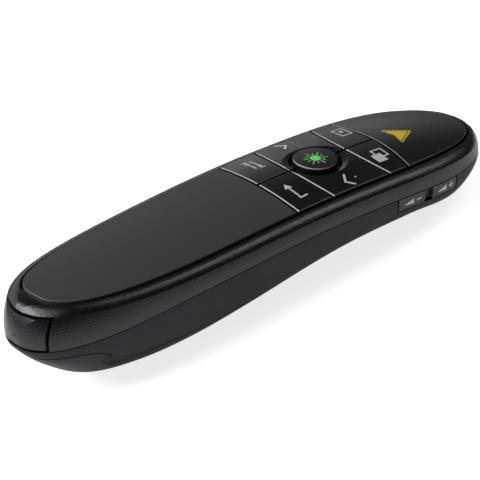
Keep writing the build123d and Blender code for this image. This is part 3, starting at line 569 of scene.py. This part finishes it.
# The tab key's two arrows: name, place, ends and the way that each points.
TAB_ARROWS = (("tab_mark_out", 10.2, 6.3, 11.3, -1), ("tab_mark_in", 8.5, 6.5, 11.4, 1))
TAB_LINE = 0.36
TAB_HEAD = (1.3, 1.5)
TAB_STOP_HALF = 0.85
TAB_STOP_SET = 0.15        # past the arrow's tip
TAB_STOP_LINE = 0.3

DOTS = (("page_up_key", (25.8, 12.1)), ("page_down_key", (25.5, -11.5)))
DOT_R = 0.42
DOT_RISE = 0.22
DOT_SINK = 0.05            # how far a dot's middle lies under the print's height
DOT_SIDES = 20             # round a dot, and from its top to its foot
DOT_RINGS = 12

POINTER = [(54.2, -1.6), (46.9, 2.7), (48.2, -1.6), (46.9, -5.9)]
POINTER_ROUND = 0.5
POINTER_RIM = (1.0, 0.86)  # sizes of the rim's outlines and of the fill
POINTER_FILL = 0.76

VOLUME_FALL = -0.12        # slope of the volume buttons' marks, as the buttons slope
WEDGE_X = (-3.0, 0.6)      # from a button's middle to the wedge's tip and its end
WEDGE_HALF = 0.75
WEDGE_DROP = 0.3           # of the tip
SIGN_X = 2.5
SIGN_ARM = 0.8
SIGN_LINE = 0.4


def sun_rays():
    """Tapering rays round the disc, long and short in turn."""
    loops = []
    for k in range(SUN_RAYS):
        angle = tau * k / SUN_RAYS + SUN_TURN
        along = Vector((cos(angle), sin(angle)))
        across = Vector((-along.y, along.x))
        foot, end = SUN + along * SUN_FOOT, SUN + along * SUN_TIPS[k % 2]
        wide, slim = (across * half for half in SUN_HALVES)
        loops.append([tuple(foot - wide), tuple(end - slim), tuple(end + slim), tuple(foot + wide)])
    return loops


def key_legends():
    def on_key(node, name, loops):
        print_on(node, name, loops, pale_ink)

    print_on("laser_button", "sun_disc", [circle(*SUN, SUN_DISC_R)], green_ink)
    print_on("laser_button", "sun_rays", sun_rays(), ray_ink)
    on_key("page_down_key", "page_down_mark", stroke(*PAGE_DOWN_MARK))
    on_key("page_up_key", "page_up_mark", stroke(*PAGE_UP_MARK))
    on_key("enter_key", "enter_mark", stroke(*ENTER_SHAFT))
    on_key("enter_key", "enter_mark_head", [arrow_head(*ENTER_HEAD)])
    on_key("window_key", "window_mark_back", stroke(*WINDOW_BACK, closed=True))
    on_key("window_key", "window_mark_front", [rounded(WINDOW_FRONT, WINDOW_ROUND)])
    on_key("screen_key", "screen_mark", stroke(*SCREEN_FRAME, closed=True))
    on_key("screen_key", "play_mark", [arrow_head(*PLAY_HEAD)])
    for name, x, low, high, way in TAB_ARROWS:
        tip = low if way < 0 else high
        stop = tip + TAB_STOP_SET * way
        ends = [(x - TAB_STOP_HALF, stop), (x + TAB_STOP_HALF, stop)]
        on_key("tab_key", name, stroke([(x, low), (x, high)], TAB_LINE))
        on_key("tab_key", name + "_head", [arrow_head((x, tip), (0, way), *TAB_HEAD)])
        on_key("tab_key", name + "_stop", stroke(ends, TAB_STOP_LINE))


def tactile_dots():
    """Small moulded bumps that tell the page keys by touch."""
    for node, spot in DOTS:
        top = laid_on(skin(node), *spot, DOWN) + DOWN * DOT_SINK * MM
        shape = bmesh.new()
        bmesh.ops.create_uvsphere(
            shape, u_segments=DOT_SIDES, v_segments=DOT_RINGS, radius=DOT_R * MM
        )
        for vert in shape.verts:
            vert.co.z *= DOT_RISE / DOT_R
            vert.co += top
        for face in shape.faces:
            face.smooth = True
        add_piece(node + "_dot", shape, key_plastic, node)


def pointer_mark():
    """Yellow arrow that points the way the laser shines."""
    middle = sum((Vector(c) for c in POINTER), Vector((0, 0))) / len(POINTER)

    def outline(share):
        corners = [tuple(middle + (Vector(c) - middle) * share) for c in POINTER]
        return rounded(corners, POINTER_ROUND * share)

    def on_panel(name, shares):
        loops = [outline(share) for share in shares]
        print_on("front_panel", name, loops, yellow_ink)

    on_panel("pointer_rim", POINTER_RIM)
    on_panel("pointer_fill", [POINTER_FILL])


def volume_marks():
    """A wedge with minus or plus on each volume button."""
    for node, sign in (("volume_down_button", "minus"), ("volume_up_button", "plus")):
        low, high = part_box(node)
        centre = Vector(((low.x + high.x) / 2, (low.z + high.z) / 2)) / MM

        def spot(x, z=0.0):
            """A point x along the sloping line through the button's middle, and z over it."""
            return centre + Vector((x, z + VOLUME_FALL * x))

        def on_button(name, loops):
            print_on(node, name, loops, side_ink_glowing, INWARD)

        tip, end = WEDGE_X
        corners = [spot(tip, -WEDGE_DROP), spot(end, -WEDGE_HALF), spot(end, WEDGE_HALF)]
        on_button(node + "_wedge", [[tuple(corner) for corner in corners]])
        middle = spot(SIGN_X)
        arm = Vector((SIGN_ARM, SIGN_ARM * VOLUME_FALL))
        on_button(f"{node}_{sign}", stroke([middle - arm, middle + arm], SIGN_LINE))
        if sign == "plus":
            for way in (1, -1):
                reaches = (SIGN_LINE / 2, SIGN_ARM)
                stub = [middle + Vector((0, way * reach)) for reach in reaches]
                on_button(f"{node}_{sign}_{way}", stroke(stub, SIGN_LINE))


# ---- Dark strip in the battery door's front gap: painted shade ---------------------------
GAP_SHADE_X = (-1.08, -0.84)    # in the gap between the door and the lower housing
GAP_SHADE_SINK = (0.12, 0.08)   # under the housing's skin, at the sides and the middle of the strip
GAP_SHADE_DEPTH = 1.5
GAP_SHADE_SKIN_X = -0.64        # where the housing's skin is followed, next to the gap
GAP_SHADE_EYE_Z = 11.0          # height of the point that its sections turn round
GAP_SHADE_SPAN = (4, 176)       # degrees below the level, from the near side to the far one
GAP_SHADE_STEPS = 72
GAP_SHADE_RAY = 60.0


def door_gap_shade():
    """Dark strip round the belly in the gap at the door's front edge: painted shade for the gap's
    shadow.
    """
    tree = skin("lower_housing")
    shape = bmesh.new()
    rings = []
    near_x, far_x = GAP_SHADE_X
    profile = (
        (near_x, GAP_SHADE_DEPTH), (near_x, GAP_SHADE_SINK[0]), (sum(GAP_SHADE_X) / 2, GAP_SHADE_SINK[1]),
        (far_x, GAP_SHADE_SINK[0]), (far_x, GAP_SHADE_DEPTH),
    )
    for k in range(GAP_SHADE_STEPS + 1):
        turn = -radians(GAP_SHADE_SPAN[0] + (GAP_SHADE_SPAN[1] - GAP_SHADE_SPAN[0]) * k / GAP_SHADE_STEPS)
        out = Vector((0, -cos(turn), sin(turn)))
        start = Vector((GAP_SHADE_SKIN_X, 0, GAP_SHADE_EYE_Z)) + out * GAP_SHADE_RAY
        hit = tree.ray_cast(start * MM, -out)[0]
        if hit is not None:
            hit.x = 0
            places = [hit + (Vector((x, 0, 0)) - out * sink) * MM for x, sink in profile]
            rings.append([shape.verts.new(place) for place in places])
    for first, second in zip(rings, rings[1:]):
        for i in range(len(profile)):
            j = (i + 1) % len(profile)
            shape.faces.new((first[i], first[j], second[j], second[i]))
    shape.faces.new(rings[0])
    shape.faces.new(rings[-1][::-1])
    bmesh.ops.recalc_face_normals(shape, faces=shape.faces[:])
    add_piece("door_gap_shade", shape, gap_shade_dark, "lower_housing")


# ---- Stage, in metres --------------------------------------------------------------------
FLOOR_REACH = 6.0
SHEET = (0.05, 0.15)       # where the white sheet under the part starts and ends its darkening
SHEET_SLIM = 0.5           # how much less it darkens along the part
SHEET_GREYS = (0.97, 0.06)
SHEET_ROUGHNESS = 0.8
SEEN_LIFT = (0.78, 1.1)    # white that the camera sees added to the sheet, and past its end
GLOSS_LIFT = 0.15          # and what reflections see
BACKDROP = Vector((-0.34, 0.94, 0)).normalized()
BACKDROP_SIDES = (0.15, 0.65)   # how squarely a direction faces the backdrop, from dark to full
BACKDROP_TOP = (0.2, 0.5)  # heights of a direction between which it fades out upwards
BACKDROP_LOW = (-0.05, 0.18)    # and between which it rises from its foot's glow to the full one
ROOM_GLOW = 0.06           # the studio's own light, and what its backdrop adds
BACKDROP_GLOW = 1.05
BACKDROP_FOOT = 0.3        # share of the glow at the backdrop's foot
LIGHT_DISTANCE = 0.9
LIGHTS = (                 # name, direction, width and height, watts
    ("back_left", (-0.66, 0.4, 0.63), (0.7, 0.42), 6.3),
    ("front_right", (0.66, -0.08, 0.74), (0.4, 0.62), 1.45),
    ("overhead", (-0.5, 0.1, 0.86), (0.45, 0.45), 1.8),
)


def make_floor():
    """White sheet that gives way to a dark table, which the camera sees as white throughout."""
    shader = Shader("white_sheet")
    slim = shader.tree.nodes.new("ShaderNodeVectorMath")
    slim.operation = "MULTIPLY"
    slim.inputs[1].default_value = (SHEET_SLIM, 1, 1)
    shader.link(shader.place, slim.inputs[0])
    away = shader.tree.nodes.new("ShaderNodeVectorMath")
    away.operation = "LENGTH"
    shader.link(slim.outputs["Vector"], away.inputs[0])
    middle, reach = sum(SHEET) / 2, (SHEET[1] - SHEET[0]) / 2
    past = shader.spread(away.outputs["Value"], 0, 1, middle, reach)
    path = shader.tree.nodes.new("ShaderNodeLightPath")
    seen_lift = shader.spread(past, *SEEN_LIFT, reach=0.5)
    seen = shader.product(path.outputs["Is Camera Ray"], seen_lift)
    gloss_lift = shader.spread(past, GLOSS_LIFT, 0, reach=0.5)
    gloss = shader.product(path.outputs["Is Glossy Ray"], gloss_lift)
    near, far = [(level, level, level) for level in SHEET_GREYS]
    shader.set(
        Base_Color=shader.mix(past, near, far),
        Roughness=SHEET_ROUGHNESS,
        Specular_IOR_Level=0.0,
        Emission_Color=(1, 1, 1, 1),
        Emission_Strength=shader.product(seen, 1.0, gloss),
    )
    mesh = bpy.data.meshes.new("floor")
    signs = ((-1, -1), (1, -1), (1, 1), (-1, 1))
    corners = [(x * FLOOR_REACH, y * FLOOR_REACH, 0) for x, y in signs]
    mesh.from_pydata(corners, [], [(0, 1, 2, 3)])
    mesh.materials.append(shader.material)
    floor = bpy.data.objects.new("floor", mesh)
    bpy.context.scene.collection.objects.link(floor)


def make_world():
    """White to the camera; otherwise a low pale backdrop behind the part in a darker room."""
    world = bpy.data.worlds.new("studio")
    bpy.context.scene.world = world
    world.use_nodes = True
    tree = world.node_tree
    glow = tree.nodes["Background"]
    glow.inputs["Color"].default_value = (1, 1, 1, 1)

    def ramp(value, start, end, low, high):
        node = tree.nodes.new("ShaderNodeMapRange")
        node.interpolation_type = "SMOOTHSTEP"
        names = ("From Min", "From Max", "To Min", "To Max")
        for name, number in zip(names, (start, end, low, high)):
            node.inputs[name].default_value = number
        tree.links.new(value, node.inputs["Value"])
        return node.outputs["Result"]

    place = tree.nodes.new("ShaderNodeTexCoord").outputs["Generated"]
    axes = tree.nodes.new("ShaderNodeSeparateXYZ")
    tree.links.new(place, axes.inputs["Vector"])
    behind = tree.nodes.new("ShaderNodeVectorMath")
    behind.operation = "DOT_PRODUCT"
    behind.inputs[1].default_value = BACKDROP
    tree.links.new(place, behind.inputs[0])
    sides = ramp(behind.outputs["Value"], *BACKDROP_SIDES, 0, 1)
    upper = ramp(axes.outputs["Z"], *BACKDROP_TOP, 1, 0)
    foot_glow = BACKDROP_GLOW * BACKDROP_FOOT
    lower = ramp(axes.outputs["Z"], *BACKDROP_LOW, foot_glow, BACKDROP_GLOW)
    band = tree.nodes.new("ShaderNodeMath")
    band.operation = "MULTIPLY"
    tree.links.new(upper, band.inputs[0])
    tree.links.new(lower, band.inputs[1])
    level = tree.nodes.new("ShaderNodeMath")
    level.operation = "MULTIPLY_ADD"
    tree.links.new(sides, level.inputs[0])
    tree.links.new(band.outputs["Value"], level.inputs[1])
    level.inputs[2].default_value = ROOM_GLOW
    path = tree.nodes.new("ShaderNodeLightPath")
    seen = tree.nodes.new("ShaderNodeMix")
    tree.links.new(path.outputs["Is Camera Ray"], seen.inputs["Factor"])
    tree.links.new(level.outputs["Value"], seen.inputs["A"])
    seen.inputs["B"].default_value = 1.0
    tree.links.new(seen.outputs["Result"], glow.inputs["Strength"])


def soft_light(name, direction, size, power):
    """Rectangular soft box that looks at the middle of the part."""
    data = bpy.data.lights.new(name, "AREA")
    data.shape = "RECTANGLE"
    data.size, data.size_y = size
    data.energy = power
    lamp = bpy.data.objects.new(name, data)
    away = Vector(direction).normalized()
    lamp.location = away * LIGHT_DISTANCE
    lamp.rotation_mode = "QUATERNION"
    lamp.rotation_quaternion = away.to_track_quat("Z", "Y")
    bpy.context.scene.collection.objects.link(lamp)


make_camera()
make_floor()
make_world()
for light in LIGHTS:
    soft_light(*light)
dress_nodes()
key_legends()
tactile_dots()
pointer_mark()
volume_marks()
door_gap_shade()

bpy.context.scene.view_settings.view_transform = "Standard"
